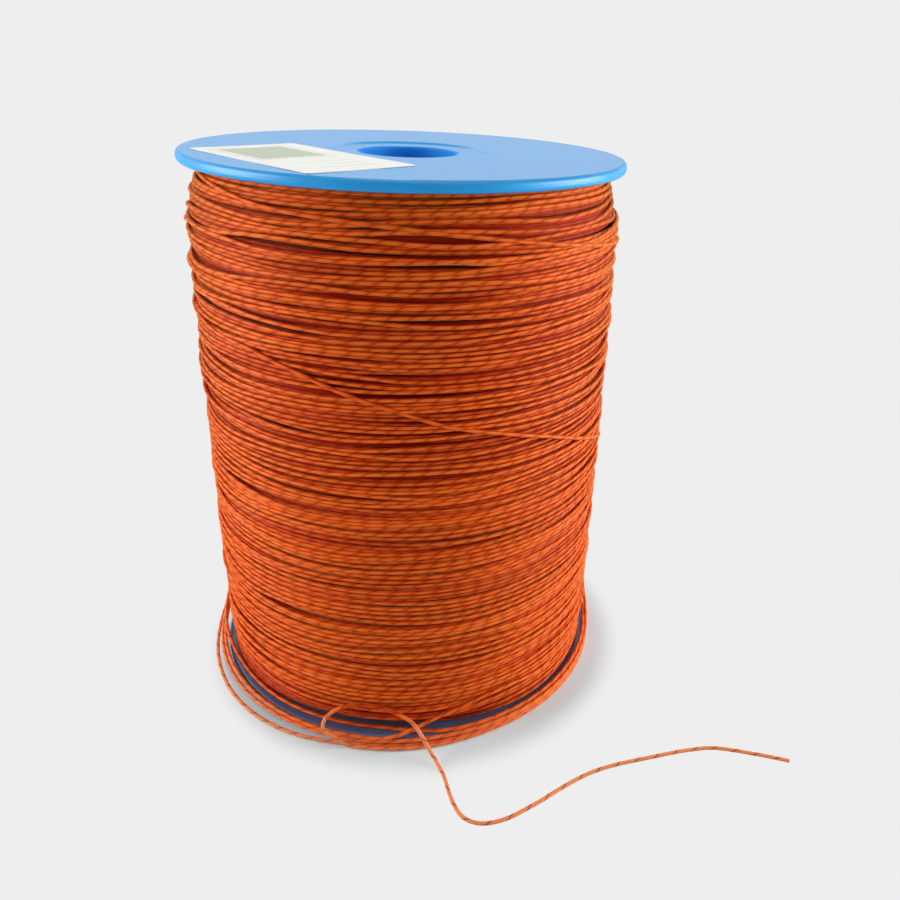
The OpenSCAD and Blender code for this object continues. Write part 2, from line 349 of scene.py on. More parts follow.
# %% Join the layers
# Places where a turn of the last layer stands off a little: turns made, angle, rise and half width in degrees
SPRUNG = [(8.4, -187, 0.9, 9), (10.4, -183, 0.6, 14), (17.4, -184, 0.8, 12), (31.4, -185, 0.5, 14),
          (13.8, -358, 0.5, 16), (21.8, -357, 0.45, 18)]

joined_z, joined_r = np.concatenate([laid[name] for name in PATH_ORDER], axis=1)
joined_r = even_out(joined_r)
joined_angle = station_angle(np.arange(len(joined_z)))
last_start = len(joined_z) - laid["winding_last_layer"].shape[1]
for turns, angle, rise, half_width in SPRUNG:
    middle = last_start + round(turns) * STATIONS + (START_ANGLE - angle) % 360 / STATION_ANGLE
    joined_r += rise * np.exp(-((np.arange(len(joined_r)) - middle) * STATION_ANGLE / half_width) ** 2)

layer_paths = {}
start = 0
for name in PATH_ORDER:
    count = laid[name].shape[1]
    part = slice(start, start + count + 1)
    start += count
    layer_paths[name] = polar(joined_angle[part], joined_r[part], joined_z[part])
    usual, most = np.percentile(joined_r[part] + THREAD_R, (50, 99))
    print(f"{name}: {count // STATIONS} turns, surface usually at {usual:.2f}, at most about {most:.2f} mm")

# %% [markdown]
# ## One strand as a mesh
#
# The thread is a round section swept along a path. A curve with a bevel does the sweeping, and its
# conversion to a mesh brings a UV map that runs along and around. The map is scaled to millimetres along
# the thread, so that one braid pattern fits every stretch, however long it is.

# %% Sweep the thread
THREAD_SIDES_ON_REEL = 8
THREAD_SIDES_FREE = 12


def length_of(path):
    """The length of a path along all its points."""
    return float(np.linalg.norm(np.diff(path, axis=0), axis=1).sum())


def add_piece(name, mesh):
    """An object for a finished mesh, at the origin, because its place is in its mesh."""
    piece = bpy.data.objects.new(name, mesh)
    bpy.context.scene.collection.objects.link(piece)
    return piece


def sweep(name, path, sides, done=0.0):
    """A piece of thread along a path in millimetres. done is the length of thread before it."""
    curve = bpy.data.curves.new(name, "CURVE")
    curve.dimensions = "3D"
    curve.twist_mode = "Z_UP"
    curve.bevel_depth = THREAD_R * MM
    curve.bevel_resolution = (sides - 4) // 2
    curve.use_fill_caps = True
    spline = curve.splines.new("POLY")
    spline.points.add(len(path) - 1)
    points = np.column_stack([path * MM, np.ones(len(path))])
    spline.points.foreach_set("co", points.ravel().astype(np.float32))
    swept = bpy.data.objects.new("swept", curve)
    mesh = bpy.data.meshes.new_from_object(swept)
    mesh.name = name
    bpy.data.objects.remove(swept)
    bpy.data.curves.remove(curve)
    uv = np.zeros(len(mesh.loops) * 2, np.float32)
    mesh.uv_layers[0].uv.foreach_get("vector", uv)
    uv = uv.reshape(-1, 2)
    uv[:, 0] = done + uv[:, 0] * length_of(path)
    mesh.uv_layers[0].uv.foreach_set("vector", uv.ravel())
    return add_piece(name, mesh)


print(f"the layers take {sum(map(length_of, layer_paths.values())) / 1000:.1f} m of thread")

# %% [markdown]
# ## Finishes as arithmetic
#
# A procedural finish is a small computation: where on the thread is this point, is it on the tracer yarn,
# how deep in a groove. Node trees are awkward to read as code, so a thin wrapper lets them be written as
# formulas. Adding two values makes a Math node, and one method makes any other node.

# %% Node arithmetic
class Value:
    """The output of a node, which can be used in arithmetic."""

    def __init__(self, shading, socket):
        self.shading = shading
        self.socket = socket

    def math(self, operation, *values):
        return self.shading.node("ShaderNodeMath", {"operation": operation}, dict(enumerate(values)))

    def __add__(self, other):
        return self.math("ADD", self, other)

    def __sub__(self, other):
        return self.math("SUBTRACT", self, other)

    def __rsub__(self, other):
        return self.math("SUBTRACT", other, self)

    def __mul__(self, other):
        return self.math("MULTIPLY", self, other)

    def __truediv__(self, other):
        return self.math("DIVIDE", self, other)

    __radd__ = __add__
    __rmul__ = __mul__

    def sin(self):
        return self.math("SINE", self)

    def cos(self):
        return self.math("COSINE", self)

    def abs(self):
        return self.math("ABSOLUTE", self)

    def fraction(self):
        return self.math("FRACT", self)

    def root(self):
        return self.math("SQRT", self)

    def at_least(self, other):
        return self.math("MAXIMUM", self, other)

    def step(self, low, high):
        """0 below low, 1 above high and smooth between. With low over high it falls instead."""
        if low > high:
            return 1 - self.step(high, low)
        return self.shading.node("ShaderNodeMapRange", {"interpolation_type": "SMOOTHSTEP"},
                                 {"Value": self, "From Min": low, "From Max": high})

    def channels(self):
        """The three parts of a vector."""
        apart = self.shading.node("ShaderNodeSeparateXYZ", {}, {"Vector": self}).socket.node
        return [Value(self.shading, output) for output in apart.outputs]


class Shading:
    """A tree of shader nodes that is put together one node at a time."""

    def __init__(self, tree):
        self.tree = tree
        self.tree.nodes.clear()

    def node(self, kind, settings, inputs, output=0):
        """A node with its settings, and with a number or another node's value at each of its inputs."""
        made = self.tree.nodes.new(kind)
        for key, setting in settings.items():
            setattr(made, key, setting)
        for key, given in inputs.items():
            if isinstance(given, Value):
                self.tree.links.new(given.socket, made.inputs[key])
            else:
                made.inputs[key].default_value = given
        return Value(self, made.outputs[output])

    def end(self, kind, shader):
        """The output node, with a shader at its surface."""
        end = self.tree.nodes.new(kind)
        self.tree.links.new(shader.socket, end.inputs["Surface"])


# %% Finishes
class Finish(Shading):
    """A material, with the nodes that the finishes below share."""

    def __init__(self, name):
        self.material = bpy.data.materials.new(name)
        self.material.use_nodes = True
        super().__init__(self.material.node_tree)

    def place_in_metres(self):
        return self.node("ShaderNodeTexCoord", {}, {}, output="Object")

    def in_mm(self, place):
        return self.node("ShaderNodeVectorMath", {"operation": "SCALE"}, {0: place, "Scale": 1 / MM})

    def place(self):
        """Object coordinates in millimetres."""
        return self.in_mm(self.place_in_metres())

    def vector(self, **parts):
        """A vector from its X and Y parts."""
        return self.node("ShaderNodeCombineXYZ", {}, parts)

    def noise(self, where, scale, detail=2.0):
        return self.node("ShaderNodeTexNoise", {}, {"Vector": where, "Scale": scale, "Detail": detail},
                         output="Fac")

    def mix(self, share, first, second):
        """A colour between two. The share is that of the second."""
        return self.node("ShaderNodeMix", {"data_type": "RGBA"}, {"Factor": share, 6: first, 7: second},
                         output=2)

    def bump(self, height, distance, strength=1.0):
        """A normal from a height. The distance is in millimetres."""
        return self.node("ShaderNodeBump", {}, {"Height": height, "Distance": distance * MM,
                                                "Strength": strength})

    def surface(self, **inputs):
        """Ends the material in a Principled BSDF. Underscores in names stand for spaces."""
        named = {key.replace("_", " "): value for key, value in inputs.items()}
        self.end("ShaderNodeOutputMaterial", self.node("ShaderNodeBsdfPrincipled", {}, named))
        print(f"{self.material.name}: {len(self.tree.nodes)} nodes")
        return self.material


def colour(red, green, blue):
    """A colour given as on a screen, from 0 to 255, as the linear values that shaders use."""
    def linear(value):
        value /= 255
        return value / 12.92 if value <= 0.04045 else ((value + 0.055) / 1.055) ** 2.4
    return (linear(red), linear(green), linear(blue), 1.0)


def wear(piece, material):
    piece.data.materials.clear()
    piece.data.materials.append(material)


print("mid grey in linear light:", round(colour(128, 128, 128)[0], 3))

# %% [markdown]
# ## Waxed braid
#
# The thread is a fine braid of polyester with one dark tracer yarn. The tracer comes up once in 3.9 mm,
# which leaves a short dark tick and breaks each strand into lens-shaped bits, each with a painted highlight
# in its middle. Wax fills the braid, so the surface is smooth with a soft gloss. The UV map runs in
# millimetres along the thread, so both families of yarns are slanting waves on it, and so is the tracer.
# Where strands lie deep between others, and on the flanks of each strand, the colour is painted darker and
# redder as shade. That follows from the distance to the spool's axis, and on the flanks from where on the
# round section a point lies. Thread that hangs free is paler and its ticks are sharper. A picture of braid
# could be wrapped round the thread instead, but it would repeat, and it would blur from close by.

# %% The braid's pattern
TRACER_PITCH = 3.9
TRACER_LEAN = 0.9
# The braid is stretched unevenly, which moves the ticks along: how slowly it changes, and by how many pitches
TWIST_SPREAD = 0.006
TWIST_DRIFT = 11.0
PLAIT_PITCH = 1.5
PLAITS = 4
# Distances from the middle of a tick, in pitches: a soft tick, a sharp tick and the lens between two of them
SOFT_TICK = (0.17, 0.01)
SHARP_TICK = (0.1, 0.02)
LENS = (0.08, 0.4)


def braid_pattern(finish, along, around):
    """The distance from the nearest tick in pitches, and the height of the plaited yarns."""
    stretch = finish.noise(finish.vector(X=along * TWIST_SPREAD), 1.0, detail=0.0)
    turn = (along / TRACER_PITCH + around * TRACER_LEAN + stretch * TWIST_DRIFT).fraction()
    one_way = ((along / PLAIT_PITCH + around * PLAITS) * (2 * math.pi)).sin()
    other_way = ((along / PLAIT_PITCH - around * PLAITS) * (2 * math.pi)).sin()
    return (turn - 0.5).abs(), one_way * other_way


print(f"a tick every {TRACER_PITCH} mm, {PLAITS} yarns each way")

# %% The thread's depth
# Heights over the winding's body: painted shade below the first, bright dye above the second, free above the
# third
DEEP_AT = 0.75
SHALLOW_AT = 1.95
FREE_AT = 2.7
FREE_EDGE = 0.6
# Heights between which thread turns pale, because it hangs outside the winding
PALE_AT = (2.2, 5.6)
# The last layer is missing below its end, so the layer under it counts as this much higher there
LAST_BUILD = 0.4
LAST_EDGE = 1.5
# Where on its round section a strand faces outwards, in turns, and how much further round in the tidy half
OUTWARD = 0.895
TIDY_TURN = 0.06
# A flank is reached between these cosines off the outward line, and loses this share of brightness to painted
# shade
FLANK = (1.0, 0.4)
FLANK_SHADE = 0.92
# So much less of it in the tidy half
TIDY_RELIEF = 0.22


def thread_depth(finish, around):
    """How free of painted shade a point is, 0 deep between strands and 1 on top, and how far it is pale."""
    x, y, z = finish.place().channels()
    foot = (1 - (z - FLANGE_T) / FOOT_TAPER_H).at_least(0.0)
    head = (1 - (REEL_H - FLANGE_T - z) / HEAD_TAPER_H).at_least(0.0)
    drawn_in = foot * foot * FOOT_DRAW + head * head * HEAD_DRAW
    below_last = z.step(LEAVE_Z + LAST_EDGE, LEAVE_Z - LAST_EDGE)
    radius = (x * x + y * y).root()
    depth = radius + drawn_in + below_last * LAST_BUILD
    wound = depth.step(CORE_R + FREE_AT + FREE_EDGE, CORE_R + FREE_AT)
    tidy = z.step(LOOSE_ABOVE, TIDY_BELOW)
    outward = ((around - OUTWARD - tidy * TIDY_TURN) * (2 * math.pi)).cos()
    # The flanks of each strand get painted shade
    flank = outward.step(*FLANK) * wound
    flank_brightness = 1 - flank * (FLANK_SHADE - tidy * TIDY_RELIEF)
    unshaded = depth.step(CORE_R + DEEP_AT, CORE_R + SHALLOW_AT) * flank_brightness
    return unshaded, radius.step(CORE_R + PALE_AT[0], CORE_R + PALE_AT[1])


# Above this radius no painted shade darkens the dye
print(f"dye is fully bright from a radius of {CORE_R + SHALLOW_AT:.2f} mm")

# %% The thread's finish
# The first pair is painted shade for thread that lies deep between other strands
PAINTED_GROOVE_SHADE = (colour(158, 6, 0), colour(186, 12, 1))
BRIGHT_DYE = (colour(230, 78, 9), colour(244, 98, 20))
# A painted highlight for the middle of each lens-shaped bit
PAINTED_LENS_HIGHLIGHT = colour(250, 126, 50)
TRACER_DYE = colour(116, 22, 4)
PALE_DYE = colour(238, 156, 112)
PALE_TRACER_DYE = colour(112, 60, 44)
LENS_HIGHLIGHT_SHARE = 0.4
PALE_SHARE = 0.7
SOFT_TICK_SHARE = 0.45
SHARP_TICK_SHARE = 0.75
DEEP_PATCHES = 0.09
STREAKS_ALONG = 0.02
STREAKS_AROUND = 0.6
STREAK_EDGE = (0.3, 0.7)
YARN_HEIGHT = 0.25
LENS_HEIGHT = 0.5


def make_thread_finish():
    finish = Finish("waxed_braid")
    along, around, _ = finish.node("ShaderNodeUVMap", {"uv_map": "UVMap"}, {}).channels()
    from_tick, plait = braid_pattern(finish, along, around)
    unshaded, pale = thread_depth(finish, around)
    tick = from_tick.step(*SOFT_TICK)
    lens = from_tick.step(*LENS)

    patches = finish.noise(finish.place(), DEEP_PATCHES, detail=3.0)
    streaks = finish.noise(finish.vector(X=along * STREAKS_ALONG, Y=around * STREAKS_AROUND), 1.0)
    bright = finish.mix(streaks.step(*STREAK_EDGE), *BRIGHT_DYE)
    # Painted shade below and between the strands on top
    dyed = finish.mix(unshaded, finish.mix(patches, *PAINTED_GROOVE_SHADE), bright)
    # The painted highlight in each lens-shaped bit, on the strands on top
    dyed = finish.mix(lens * unshaded * LENS_HIGHLIGHT_SHARE, dyed, PAINTED_LENS_HIGHLIGHT)
    dyed = finish.mix(pale * PALE_SHARE, dyed, PALE_DYE)
    dyed = finish.mix(tick * SOFT_TICK_SHARE * (1 - pale), dyed, TRACER_DYE)
    dyed = finish.mix(from_tick.step(*SHARP_TICK) * SHARP_TICK_SHARE * pale, dyed, PALE_TRACER_DYE)

    height = plait * YARN_HEIGHT + lens * LENS_HEIGHT - tick * LENS_HEIGHT
    return finish.surface(Base_Color=dyed, Roughness=0.55 - lens * 0.08,
                          Normal=finish.bump(height, 0.05, 0.8), Specular_IOR_Level=0.16,
                          Specular_Tint=colour(255, 228, 206), Sheen_Weight=0.95, Sheen_Roughness=0.34,
                          Sheen_Tint=colour(255, 190, 84))


waxed_braid = make_thread_finish()

# %% Sweep the layers
thread_made = 0.0
for name, path in layer_paths.items():
    piece = sweep(name, path, THREAD_SIDES_ON_REEL, thread_made)
    thread_made += length_of(path)
    wear(piece, waxed_braid)
    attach(piece, "root")
    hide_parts("outer_winding")
    print(f"{name}: {len(piece.data.polygons)} faces, {thread_made / 1000:.1f} m of thread so far")

# %% [markdown]
# ## The body of the winding
#
# The many layers below the visible ones are one lathed body. A line of vertices follows the winding's
# outline and a spin turns it once round the axis. The outline is taken where the lowest turns fall in most,
# so the body stays behind the strands all round and only ever shows as a dark ground between them. Without
# it one could look between the strands into an empty reel. Its finish has faint ribs as high as a thread,
# in a dark red that is painted shade, lighter on the ribs and darker between them.

# %% The winding's body
BODY_STEPS = 24
BODY_SIDES = 96
TUBE_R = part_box("core_tube")[1].x / MM
SOFT_GAP = 0.25
DEEPEST_ANGLE = -105.0


def finish_mesh(name, mesh):
    """An object for a bmesh, with its faces turned outwards."""
    bmesh.ops.recalc_face_normals(mesh, faces=mesh.faces)
    data = bpy.data.meshes.new(name)
    mesh.to_mesh(data)
    mesh.free()
    print(f"{name}: {len(data.polygons)} faces")
    return add_piece(name, data)


def make_winding_body():
    mesh = bmesh.new()
    bottom = FLANGE_T + SOFT_GAP
    top = REEL_H - FLANGE_T - SOFT_GAP
    outline = [(TUBE_R + SOFT_GAP, bottom)]
    outline += [(core_radius(z, DEEPEST_ANGLE), z) for z in np.linspace(bottom, top, BODY_STEPS)]
    outline += [(TUBE_R + SOFT_GAP, top)]
    line = [mesh.verts.new((r * MM, 0, z * MM)) for r, z in outline]
    edges = [mesh.edges.new(pair) for pair in zip(line, line[1:] + line[:1])]
    bmesh.ops.spin(mesh, geom=line + edges, cent=(0, 0, 0), axis=(0, 0, 1), angle=2 * math.pi,
                   steps=BODY_SIDES, use_merge=True)
    return finish_mesh("winding_body", mesh)


winding_body = make_winding_body()

# %% The body's finish
# Dark red painted shade, lighter on the ribs and darker between them
PAINTED_GROUND_SHADE = (colour(120, 8, 1), colour(160, 14, 3))
GROUND_WAVES = 0.12
GROUND_SHIFT = 9


def make_shaded_ground_finish():
    finish = Finish("shaded_thread_ground")
    place = finish.place()
    _, _, z = place.channels()
    ribs = (z * (2 * math.pi / THREAD_D) + finish.noise(place, GROUND_WAVES) * GROUND_SHIFT).sin()
    return finish.surface(Base_Color=finish.mix(ribs.step(-1, 1), *PAINTED_GROUND_SHADE), Roughness=0.7,
                          Normal=finish.bump(ribs, 0.2))


wear(winding_body, make_shaded_ground_finish())
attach(winding_body, "root")
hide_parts("thread_pack")

# %% [markdown]
# ## The loose thread
#
# From the foot of the winding the thread runs free in one piece: a short lead over the winding, four slack
# turns round the lower flange, a small standing loop at the front and a free end on the floor. The slack
# turns are a ring that lies at the front on the flange's edge and the floor, fans out at the left and hangs
# against the winding at the back. The ring's places are listed round the reel, and each turn lies beside or
# over the others.

# %% The slack turns
RIM = FLANGE_R + THREAD_R + TOUCH
FLOOR_GAP = 0.1
FLOOR_Z = THREAD_R + FLOOR_GAP
LEDGE_Z = WINDING_FOOT
FOOT_R = FLANGE_R - 2.4
# One list for each turn: angles clockwise from the front, radii and heights
SLACK = [
    [(8, RIM, 2.15), (20, RIM, 2.1), (45, RIM, 2.1), (66, RIM + 0.2, 2), (80, RIM + 0.5, 2.3),
     (93, RIM + 0.3, 4.6), (103, RIM - 0.1, 10), (120, RIM - 0.2, 17), (150, RIM - 0.3, 24),
     (180, RIM - 0.3, 27), (215, RIM - 0.3, 22), (240, RIM - 0.2, 14), (256, RIM - 0.4, 7.6),
     (268, RIM - 0.6, 3.6), (280, RIM - 0.6, LEDGE_Z), (330, RIM - 0.8, LEDGE_Z), (345, RIM - 0.7, LEDGE_Z)],
    [(355, RIM - 0.9, LEDGE_Z), (364, FOOT_R, LEDGE_Z), (385, FOOT_R, LEDGE_Z), (394, FOOT_R + 0.3, LEDGE_Z),
     (410, FOOT_R + 0.6, LEDGE_Z), (420, FOOT_R + 0.8, LEDGE_Z), (428, FOOT_R + 1.2, LEDGE_Z),
     (436, RIM - 0.6, 2.9), (444, RIM + 0.5, 3.4), (454, RIM + 1.1, 5.6), (464, RIM + 0.8, 10.5),
     (480, RIM + 0.3, 16), (510, RIM - 0.3, 23), (540, RIM - 0.3, 25.8), (575, RIM + 0.2, 20),
     (598, RIM + 0.6, 15.5), (612, RIM + 0.6, 11.5), (624, RIM + 0.6, 7), (634, RIM + 0.2, 3.2),
     (645, RIM, 2.1), (690, RIM, 2.1), (710, RIM, 2.1)],
    [(730, RIM, 1.35), (745, RIM + 0.2, 1.3), (765, RIM + 0.6, 1.2), (785, RIM + 0.9, 1),
     (804, RIM + 1.3, 1.2), (812, RIM + 1.3, 2.8), (822, RIM + 1, 6), (840, RIM + 0.3, 13),
     (870, RIM - 0.3, 21), (900, RIM - 0.3, 24.6), (935, RIM - 0.3, 18), (960, RIM - 0.2, 10), (978, RIM, 4),
     (990, RIM, 1.7), (1005, RIM, 1.3), (1060, RIM, 1.3)],
    [(1080, RIM, FLOOR_Z), (1093, RIM + 0.2, FLOOR_Z), (1104, RIM + 1.3, FLOOR_Z), (1116, RIM + 2.7, FLOOR_Z),
     (1133, RIM + 3.1, FLOOR_Z), (1155, RIM + 2.5, FLOOR_Z), (1167, RIM + 2.1, 0.9), (1176, RIM + 1.9, 2.8),
     (1186, RIM + 1.6, 4.2), (1200, RIM + 0.6, 10), (1230, RIM - 0.2, 19), (1260, RIM - 0.3, 23.4),
     (1295, RIM - 0.3, 16), (1320, RIM - 0.2, 8), (1338, RIM, 2.4), (1350, RIM, 0.9), (1365, RIM, FLOOR_Z),
     (1420, RIM, FLOOR_Z), (1430, RIM + 0.5, FLOOR_Z), (1438, RIM + 0.85, FLOOR_Z),
     (1446, RIM + 1.1, FLOOR_Z)],
]
SLACK_STEP = 5
SOFTENING = np.linspace(-7, 7, 8)


def slack_points():
    """The slack turns as angles, radii and heights, smoothed a little along the thread."""
    table = np.array([row for turn in SLACK for row in turn])
    at = np.arange(table[0, 0], table[-1, 0] + SLACK_STEP, SLACK_STEP)
    around = at[:, None] + SOFTENING
    radius, height = (np.interp(around, table[:, 0], table[:, column]).mean(axis=1) for column in (1, 2))
    return np.column_stack([-90 - at, radius, height])


slack = slack_points()
print(f"{len(SLACK)} slack turns, radii {slack[:, 1].min():.1f} to {slack[:, 1].max():.1f} mm")

# %% [markdown]
# The lead, the loop and the free end follow no rule, so their points are given one by one: angles, radii and
# heights for the lead, the same with the distance outside the rim for the loop, and places on the floor for
# the free end. A natural cubic spline takes the thread smoothly through all of them. A rope simulation
# could drop the thread round the reel as well, but its lay would be hard to steer.

# %% A smooth line through points
FREE_STEP = 0.6


def through(points, step):
    """A smooth line through points, as a natural cubic spline, with a new point every step millimetres."""
    points = np.asarray(points, float)
    along = np.concatenate([[0], np.cumsum(np.linalg.norm(np.diff(points, axis=0), axis=1))])
    gap = np.diff(along)
    count = len(points)
    system = np.eye(count)
    slope = np.diff(points, axis=0) / gap[:, None]
    right = np.zeros_like(points)
    for i in range(1, count - 1):
        system[i, i - 1:i + 2] = gap[i - 1], 2 * (gap[i - 1] + gap[i]), gap[i]
        right[i] = 6 * (slope[i] - slope[i - 1])
    bend = np.linalg.solve(system, right)
    at = np.linspace(0, along[-1], int(along[-1] / step))
    i = np.clip(np.searchsorted(along, at) - 1, 0, count - 2)
    width, before, after = gap[i][:, None], (at - along[i])[:, None], (along[i + 1] - at)[:, None]
    return ((bend[i] * after**3 + bend[i + 1] * before**3) / (6 * width)
            + (points[i] / width - bend[i] * width / 6) * after
            + (points[i + 1] / width - bend[i + 1] * width / 6) * before)


print(f"the free thread gets a point every {FREE_STEP} mm")

# %% The cord's route
LEAD = [(-48.5, 43.85, 8.5), (-52, 44.05, 8.9), (-56, 44.15, 9.3), (-62.6, 44.2, 9.7), (-67.7, 44.1, 9.3),
        (-72.5, 44, 8.5), (-76.3, 44, 7.6), (-81, 44.1, 6.6), (-85.2, 44.3, 5.5), (-88.3, 44.6, 4.5)]
LOOP = [(-107.8, 1.9, 1.2), (-110, 2.4, 2.9), (-112.6, 2.9, 5.2), (-112.4, 1.9, 6.9), (-110.8, 0.6, 8.1),
        (-108, -0.5, 8.9), (-104.5, -1.1, 9.3), (-101, -1.2, 9.3), (-97.5, -1.1, 8.9), (-94.5, -0.7, 8.3),
        (-91.8, 0, 7.6), (-89.5, 1, 6.7), (-88, 2.1, 5.4), (-86.8, 3.1, 3.9), (-85.8, 4, 2.4),
        (-84.8, 5, 1.2)]
# Distances to the right of the axis and in front of the rim
TAIL = [(5.4, 6.4), (6.3, 8.8), (6.9, 11.4), (7.5, 14.2), (8.3, 16.8), (9.4, 19), (11.2, 20.5), (13.7, 21.1),
        (16.4, 20.8), (19.2, 19.9), (22.2, 18.4), (25.2, 16.8), (28.3, 14.9), (31.8, 12.9), (35.4, 11.1),
        (38.9, 9.8), (42.3, 8.9), (46, 8.2), (49.5, 7.6), (53, 7), (56.6, 6.4), (60.3, 6), (63.9, 5.9),
        (67.2, 6.5), (70, 7.3), (72.8, 8.2), (75.6, 9.1), (78, 10), (79.6, 10.6)]
LEAST_Z = FLOOR_Z - 0.05

leaving = layer_paths["winding_last_layer"][-1]
route = [leaving]
route += [polar(angle, radius, z) for angle, radius, z in LEAD]
route += [polar(angle, radius, z) for angle, radius, z in slack]
route += [polar(angle, FLANGE_R + outside, z) for angle, outside, z in LOOP]
route += [(right, -FLANGE_R - forward, FLOOR_Z) for right, forward in TAIL]
free_path = through(route, FREE_STEP)
free_path[:, 2] = np.maximum(free_path[:, 2], LEAST_Z)

# %% The free thread
free_thread = sweep("free_thread", free_path, THREAD_SIDES_FREE, thread_made)
wear(free_thread, waxed_braid)
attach(free_thread, "root")
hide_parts("lead_strand", "slack_turns", "thread_tail")
(free_path * MM).tolist()
print(f"free_thread: {len(free_thread.data.polygons)} faces")

# %% [markdown]
# ## Moulded blue plastic
#
# The flanges are injection moulded and keep their CAD meshes. Their finish is a saturated blue with the
# fine unevenness of a polished mould, and it turns pale at a flat angle because the surface mirrors the
# bright room. That comes from the shader's own reflection, so it isn't painted. Two places get painted
# shade. The wall of the bore is painted a deeper blue and is less glossy, because it lies in shade. The
# inner faces are painted a dull dark colour for shade, and on the lower flange it takes in the upper part
# of the rim as well.

# %% The flanges' finish
MOULDED_DYE = (colour(2, 150, 227), colour(6, 156, 232))
# Painted shade for the inner faces of the flanges
PAINTED_INNER_SHADE = colour(84, 70, 98)
# Painted shade for the wall of the bore
PAINTED_BORE_SHADE = colour(0, 146, 250)
BORE_R = 10.0
BORE_EDGE = (BORE_R + 0.6, BORE_R + 0.2)
# How far past the inner face the painted shade ends, and how much further that is on the lower flange
SHADE_END = (0.25, 0.05)
LOWER_SHADE = 0.7
# Radii between which it begins
SHADE_START = (28, 31)
# Heights between which the lower half's painted shade gives way to the upper half's
LOWER_HALF = (20, 10)
# The painted shade's least cover, and how much more there is in places
SHADE_COVER = (0.65, 0.4)


def make_reel_finish():
    finish = Finish("moulded_blue")
    place = finish.place()
    cloud = finish.noise(place, 0.05, detail=3.0)
    grain = finish.noise(place, 1.6, detail=3.0)
    swirl = finish.noise(place, 0.35, detail=1.0)
    x, y, z = place.channels()
    radius = (x * x + y * y).root()
    past_face = (z - REEL_H / 2).abs() - (REEL_H / 2 - FLANGE_T)
    # Painted shade on the inner faces, and on the lower flange's rim
    painted_shade = (past_face - z.step(*LOWER_HALF) * LOWER_SHADE).step(*SHADE_END) * radius.step(*SHADE_START)
    bore = radius.step(*BORE_EDGE)
    dyed = finish.mix(cloud.step(0.3, 0.7), *MOULDED_DYE)
    dyed = finish.mix(painted_shade * (SHADE_COVER[0] + swirl * SHADE_COVER[1]), dyed, PAINTED_INNER_SHADE)
    # The bore's wall gets a deeper blue as painted shade
    dyed = finish.mix(bore, dyed, PAINTED_BORE_SHADE)
    return finish.surface(Base_Color=dyed, Roughness=0.3 + grain * 0.08 + cloud * 0.06 + bore * 0.4,
                          Normal=finish.bump(grain * 0.3 + swirl, 0.05, 0.5))


moulded_blue = make_reel_finish()
for name in ("upper_flange", "lower_flange"):
    wear(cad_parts[name], moulded_blue)

# %% [markdown]
# ## The tube
#
# The tube between the flanges is extruded in pale plastic. Only a little of it can be seen, down through
# the bore, but it gets the fine lengthwise lines that a die leaves. A noise that is the same at every
# height draws them, and unlike a picture it needs no unwrapping.

# %% The tube's finish
TUBE_GREY = (colour(196, 196, 190), colour(214, 214, 209))


def make_tube_finish():
    finish = Finish("extruded_grey")
    x, y, _ = finish.place().channels()
    lines = finish.noise(finish.vector(X=x, Y=y), 1.2, detail=3.0)
    return finish.surface(Base_Color=finish.mix(lines, *TUBE_GREY), Roughness=0.55,
                          Normal=finish.bump(lines, 0.05))


wear(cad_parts["core_tube"], make_tube_finish())

# %% [markdown]
# ## The label
#
# The label is a coated paper rectangle with rounded corners. The piece starts as a single face, its corners
# are bevelled, it is extruded to the thickness of paper and cut into a grid, and its surface gets a slight
# wave. The print is a plain green panel with a thin rule round it and grey lines below, which stands for
# any such label. The print could be a picture, but rectangles worked out from the place on the label stay
# sharp at any size.

# %% The label's shape
LABEL_L = 39.0
LABEL_W = 22.5
LABEL_T = 0.15
LABEL_ROUND = 0.8
LABEL_ANGLE = -140.0
LABEL_SLIP = 2.0
HUB_R = 16.2
# Cuts across each side, and the wave: how fast it runs in each direction, in radians per metre, and its phase
LABEL_CUTS = ((LABEL_L, 12, (0, 1, 0)), (LABEL_W, 6, (1, 0, 0)))
WAVE_X = (330, 0.7)
WAVE_Y = (190, 1.1)
WAVE_H = 0.06
label_place = (Matrix.Rotation(math.radians(LABEL_ANGLE), 4, "Z")
               @ Matrix.Translation(Vector((HUB_R, LABEL_SLIP - LABEL_L / 2, REEL_H)) * MM))


def make_label():
    mesh = bmesh.new()
    bmesh.ops.create_grid(mesh, x_segments=1, y_segments=1, size=0.5)
    bmesh.ops.transform(mesh, matrix=Matrix.Diagonal((LABEL_W * MM, LABEL_L * MM, 1, 1)), verts=mesh.verts)
    bmesh.ops.translate(mesh, vec=(LABEL_W / 2 * MM, LABEL_L / 2 * MM, 0), verts=mesh.verts)
    bmesh.ops.bevel(mesh, geom=mesh.verts[:], offset=LABEL_ROUND * MM, segments=5, profile=0.5,
                    affect="VERTICES", material=-1)
    raised = bmesh.ops.extrude_face_region(mesh, geom=mesh.faces[:])
    top = [v for v in raised["geom"] if isinstance(v, bmesh.types.BMVert)]
    bmesh.ops.translate(mesh, vec=(0, 0, LABEL_T * MM), verts=top)
    for size, cuts, direction in LABEL_CUTS:
        for cut in range(1, cuts + 1):
            place = Vector(direction) * (size * cut / (cuts + 1) * MM)
            bmesh.ops.bisect_plane(mesh, geom=mesh.verts[:] + mesh.edges[:] + mesh.faces[:], plane_co=place,
                                   plane_no=direction)
    for vert in mesh.verts:
        wave = math.sin(vert.co.x * WAVE_X[0] + WAVE_X[1]) * math.sin(vert.co.y * WAVE_Y[0] + WAVE_Y[1])
        vert.co.z += WAVE_H * MM * (0.5 + 0.5 * wave)
    bmesh.ops.transform(mesh, matrix=label_place, verts=mesh.verts)
    return finish_mesh("paper_label", mesh)


paper_label = make_label()

